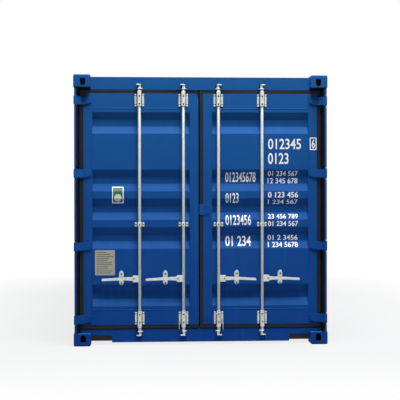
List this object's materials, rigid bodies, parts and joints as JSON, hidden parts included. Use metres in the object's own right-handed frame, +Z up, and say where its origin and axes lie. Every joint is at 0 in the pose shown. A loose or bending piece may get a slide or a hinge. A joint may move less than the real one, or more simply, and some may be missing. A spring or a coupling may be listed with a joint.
{
  "type": "shipping container",
  "caption": "Steel freight container with fluted walls, castings at its corners, double doors that fold back, and turning lock bars with handles.",
  "frame": {"origin": "centre of the rectangle that the bottom castings stand on", "axes": "+Z up, doors face -Y, +X to the right as seen from outside the doors"},
  "size_m": [2.438, 6.058, 2.591],
  "materials": {
    "blue_paint": "satin blue paint",
    "galvanised_steel": "galvanised, slightly dull",
    "seal_rubber": "matt black rubber",
    "floor_plywood": "oiled plywood",
    "underside_coating": "matt dark underside coating"
  },
  "bodies": {
    "frame": {"castings_bottom": "blue_paint", "castings_top": "blue_paint", "rear_corner_posts": "blue_paint", "front_corner_posts": "blue_paint", "hinge_brackets": "blue_paint", "door_header": "blue_paint", "header_fillers": "blue_paint", "door_sill": "blue_paint", "cam_keepers": "galvanised_steel", "top_side_rails": "blue_paint", "front_top_rail": "blue_paint", "front_bottom_rail": "blue_paint", "bottom_side_rails": "blue_paint", "side_wall_right": "blue_paint", "side_wall_left": "blue_paint", "front_wall": "blue_paint", "roof_panel": "blue_paint", "roof_corner_plates": "blue_paint", "floor_boards": "floor_plywood", "cross_members": "underside_coating", "fork_pocket_sides": "underside_coating", "fork_pocket_plates": "underside_coating"},
    "left_door": {"left_door_frame": "blue_paint", "left_door_panel": "blue_paint", "left_door_seal": "seal_rubber", "left_door_hinge_blades": "blue_paint", "left_door_bar_brackets": "galvanised_steel", "left_door_handle_retainers": "galvanised_steel"},
    "right_door": {"right_door_frame": "blue_paint", "right_door_panel": "blue_paint", "right_door_seal": "seal_rubber", "right_door_hinge_blades": "blue_paint", "right_door_bar_brackets": "galvanised_steel", "right_door_handle_retainers": "galvanised_steel", "door_lap_plate": "blue_paint"},
    "lock_bar_1": {"lock_bar_1": "galvanised_steel"},
    "handle_1": {"handle_1": "galvanised_steel"},
    "catch_1": {"catch_1": "galvanised_steel"},
    "lock_bar_2": {"lock_bar_2": "galvanised_steel"},
    "handle_2": {"handle_2": "galvanised_steel"},
    "catch_2": {"catch_2": "galvanised_steel"},
    "lock_bar_3": {"lock_bar_3": "galvanised_steel"},
    "handle_3": {"handle_3": "galvanised_steel"},
    "catch_3": {"catch_3": "galvanised_steel"},
    "lock_bar_4": {"lock_bar_4": "galvanised_steel"},
    "handle_4": {"handle_4": "galvanised_steel"},
    "catch_4": {"catch_4": "galvanised_steel"}
  },
  "joints": [
    {"name": "left_door_swing", "type": "hinge", "parent": "frame", "child": "left_door", "pos_m": [-1.2, -3.009, 1.298], "axis": [0, 0, -1], "range_deg": [0, 270]},
    {"name": "right_door_swing", "type": "hinge", "parent": "frame", "child": "right_door", "pos_m": [1.2, -3.009, 1.298], "axis": [0, 0, 1], "range_deg": [0, 270]},
    {"name": "lock_bar_1_turn", "type": "hinge", "parent": "left_door", "child": "lock_bar_1", "pos_m": [-0.59048, -2.971, 1.3], "axis": [0, 0, -1], "range_deg": [-100, 0]},
    {"name": "handle_1_lift", "type": "hinge", "parent": "lock_bar_1", "child": "handle_1", "pos_m": [-0.64548, -2.971, 0.63764], "axis": [0, 1, 0], "range_deg": [0, 8]},
    {"name": "catch_1_swivel", "type": "hinge", "parent": "left_door", "child": "catch_1", "pos_m": [-0.76548, -2.984, 0.68564], "axis": [0, 1, 0], "range_deg": [-180, 0]},
    {"name": "lock_bar_2_turn", "type": "hinge", "parent": "left_door", "child": "lock_bar_2", "pos_m": [-0.1691, -2.971, 1.3], "axis": [0, 0, -1], "range_deg": [-100, 0]},
    {"name": "handle_2_lift", "type": "hinge", "parent": "lock_bar_2", "child": "handle_2", "pos_m": [-0.2241, -2.971, 0.63764], "axis": [0, 1, 0], "range_deg": [0, 8]},
    {"name": "catch_2_swivel", "type": "hinge", "parent": "left_door", "child": "catch_2", "pos_m": [-0.3441, -2.984, 0.68564], "axis": [0, 1, 0], "range_deg": [-180, 0]},
    {"name": "lock_bar_3_turn", "type": "hinge", "parent": "right_door", "child": "lock_bar_3", "pos_m": [0.1691, -2.971, 1.3], "axis": [0, 0, 1], "range_deg": [-100, 0]},
    {"name": "handle_3_lift", "type": "hinge", "parent": "lock_bar_3", "child": "handle_3", "pos_m": [0.2241, -2.971, 0.63764], "axis": [0, -1, 0], "range_deg": [0, 8]},
    {"name": "catch_3_swivel", "type": "hinge", "parent": "right_door", "child": "catch_3", "pos_m": [0.3441, -2.984, 0.68564], "axis": [0, -1, 0], "range_deg": [-180, 0]},
    {"name": "lock_bar_4_turn", "type": "hinge", "parent": "right_door", "child": "lock_bar_4", "pos_m": [0.59048, -2.971, 1.3], "axis": [0, 0, 1], "range_deg": [-100, 0]},
    {"name": "handle_4_lift", "type": "hinge", "parent": "lock_bar_4", "child": "handle_4", "pos_m": [0.64548, -2.971, 0.63764], "axis": [0, -1, 0], "range_deg": [0, 8]},
    {"name": "catch_4_swivel", "type": "hinge", "parent": "right_door", "child": "catch_4", "pos_m": [0.76548, -2.984, 0.68564], "axis": [0, -1, 0], "range_deg": [-180, 0]}
  ]
}
